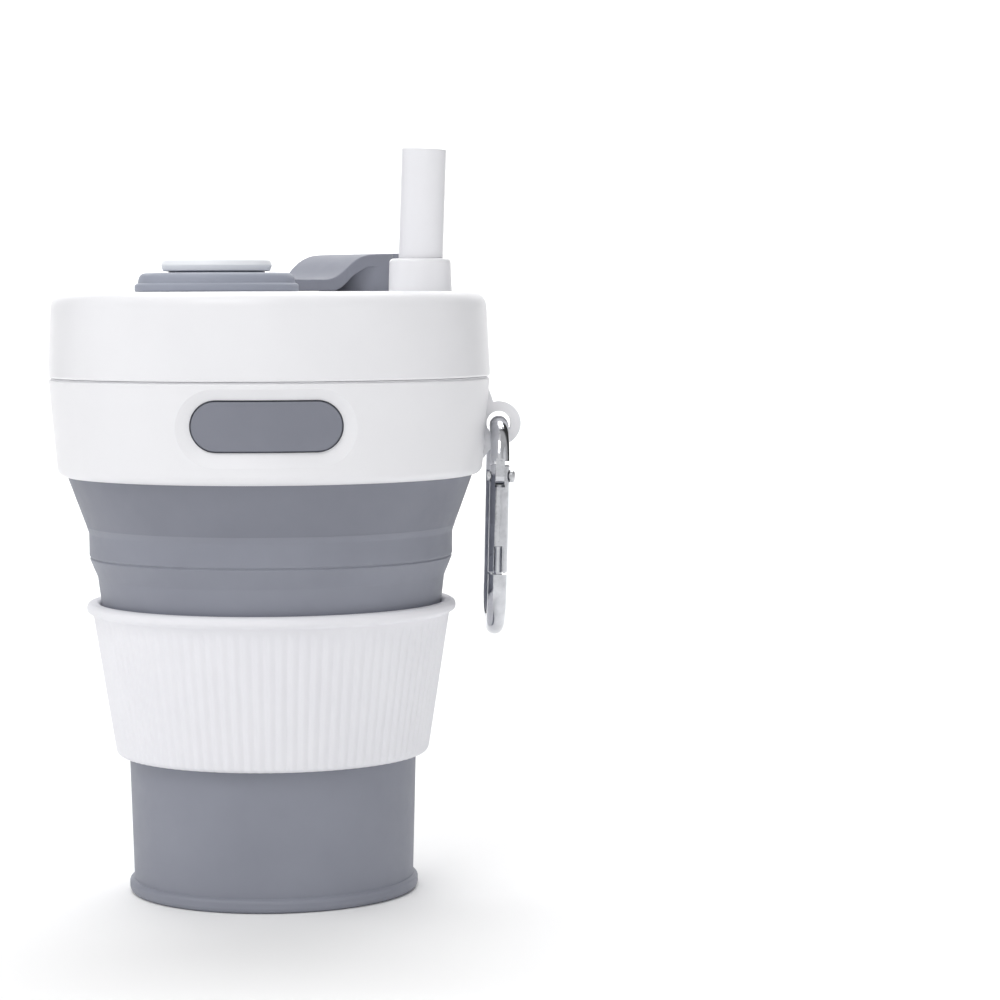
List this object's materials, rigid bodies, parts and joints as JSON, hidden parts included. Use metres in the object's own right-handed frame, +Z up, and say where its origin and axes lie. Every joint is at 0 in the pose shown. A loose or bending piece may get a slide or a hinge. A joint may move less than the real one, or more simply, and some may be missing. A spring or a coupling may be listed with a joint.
{
  "type": "collapsible travel cup",
  "caption": "Folding silicone cup with screw lid, straw, swivelling stopper, ribbed grip sleeve and a carabiner on a side lug.",
  "frame": {"origin": "centre of the base's underside, on the cup's axis", "axes": "+Z up along the cup's axis, +X towards the spout and the carabiner lug, -Y the front"},
  "size_m": [0.1061, 0.0992, 0.1672],
  "materials": {
    "collar_plastic": "fine satin, white",
    "grey_silicone": "soft matte, blue grey",
    "white_silicone": "soft matte, white",
    "lid_plastic": "satin, white",
    "clear_seal": "milky silicone",
    "stopper_silicone": "soft matte, blue grey",
    "knob_plastic": "satin, white",
    "straw": "smooth, white",
    "chrome": "bright plating over die-cast grain",
    "rivet_steel": "satin steel",
    "spring_steel": "drawn wire"
  },
  "bodies": {
    "collar": {"collar_ring": "collar_plastic", "silicone_upper_wall": "grey_silicone"},
    "fold_upper": {"upper_fold": "grey_silicone"},
    "tier": {"middle_tier": "grey_silicone"},
    "fold_lower": {"lower_fold": "grey_silicone"},
    "base": {"base_cup": "grey_silicone"},
    "sleeve": {"heat_sleeve": "white_silicone"},
    "lid_seal": {"lid_gasket": "clear_seal"},
    "lid": {"lid_shell": "lid_plastic", "stopper_knob": "knob_plastic"},
    "stopper": {"stopper_disc": "stopper_silicone", "stopper_strap": "stopper_silicone"},
    "stopper_plug": {"stopper_cap": "stopper_silicone"},
    "straw": {"straw_top": "straw", "straw_lower": "straw"},
    "carabiner": {"carabiner_frame": "chrome", "gate_rivet": "rivet_steel"},
    "gate": {"carabiner_gate": "chrome", "gate_spring": "spring_steel", "gate_plunger": "spring_steel"}
  },
  "joints": [
    {"name": "fold", "type": "slide", "parent": "collar", "child": "tier", "axis": [0, 0, 1], "range_m": [0, 0.0362], "deforming": ["upper_fold", "straw_lower"]},
    {"name": "fold_base", "type": "slide", "parent": "tier", "child": "base", "axis": [0, 0, 1], "range_m": [0, 0.0428], "deforming": ["lower_fold"]},
    {"name": "upper_web_shift", "type": "slide", "parent": "collar", "child": "fold_upper", "axis": [0, 0, 1], "range_m": [0, 0.0138]},
    {"name": "lower_web_shift", "type": "slide", "parent": "tier", "child": "fold_lower", "axis": [0, 0, 1], "range_m": [0, 0.0214]},
    {"name": "sleeve_slide", "type": "slide", "parent": "fold_upper", "child": "sleeve", "axis": [0, 0, 1], "range_m": [-0.0295, 0]},
    {"name": "lid_lift", "type": "slide", "parent": "collar", "child": "lid_seal", "axis": [0, 0, 1], "range_m": [0, 0.018]},
    {"name": "lid_turn", "type": "hinge", "parent": "lid_seal", "child": "lid", "pos_m": [0, 0, 0.1314], "axis": [0, 0, 1], "range_deg": [0, 1080]},
    {"name": "stopper_swivel", "type": "hinge", "parent": "lid", "child": "stopper", "pos_m": [-0.0118, 0, 0.1371], "axis": [0, 0, 1], "range_deg": [-22, 288]},
    {"name": "stopper_lift", "type": "hinge", "parent": "stopper", "child": "stopper_plug", "pos_m": [0.00218, 0.01499, 0.1368], "axis": [0.7314, -0.682, 0], "range_deg": [0, 60], "deforming": ["stopper_strap"]},
    {"name": "straw_slide", "type": "slide", "parent": "lid", "child": "straw", "axis": [0.0366, 0, 0.9993], "range_m": [0, 0.03], "deforming": ["straw_lower"]},
    {"name": "carabiner_swing", "type": "hinge", "parent": "collar", "child": "carabiner", "pos_m": [0.0515, 0, 0.10495], "axis": [0, -1, 0], "range_deg": [-4.5, 150]},
    {"name": "gate_open", "type": "hinge", "parent": "carabiner", "child": "gate", "pos_m": [0.05121, -0.0098, 0.0938], "axis": [0.9997, 0, -0.0262], "range_deg": [0, 28], "stiffness_Nm_per_rad": 0.004, "springref_deg": -22.92}
  ],
  "couplings": [
    {"joint": "fold_base", "follows": "fold", "ratio": 1.1823},
    {"joint": "upper_web_shift", "follows": "fold", "ratio": 0.38122},
    {"joint": "lower_web_shift", "follows": "fold", "ratio": 0.59116},
    {"joint": "lid_lift", "follows": "lid_turn", "m_per_rad": 0.00095492}
  ]
}
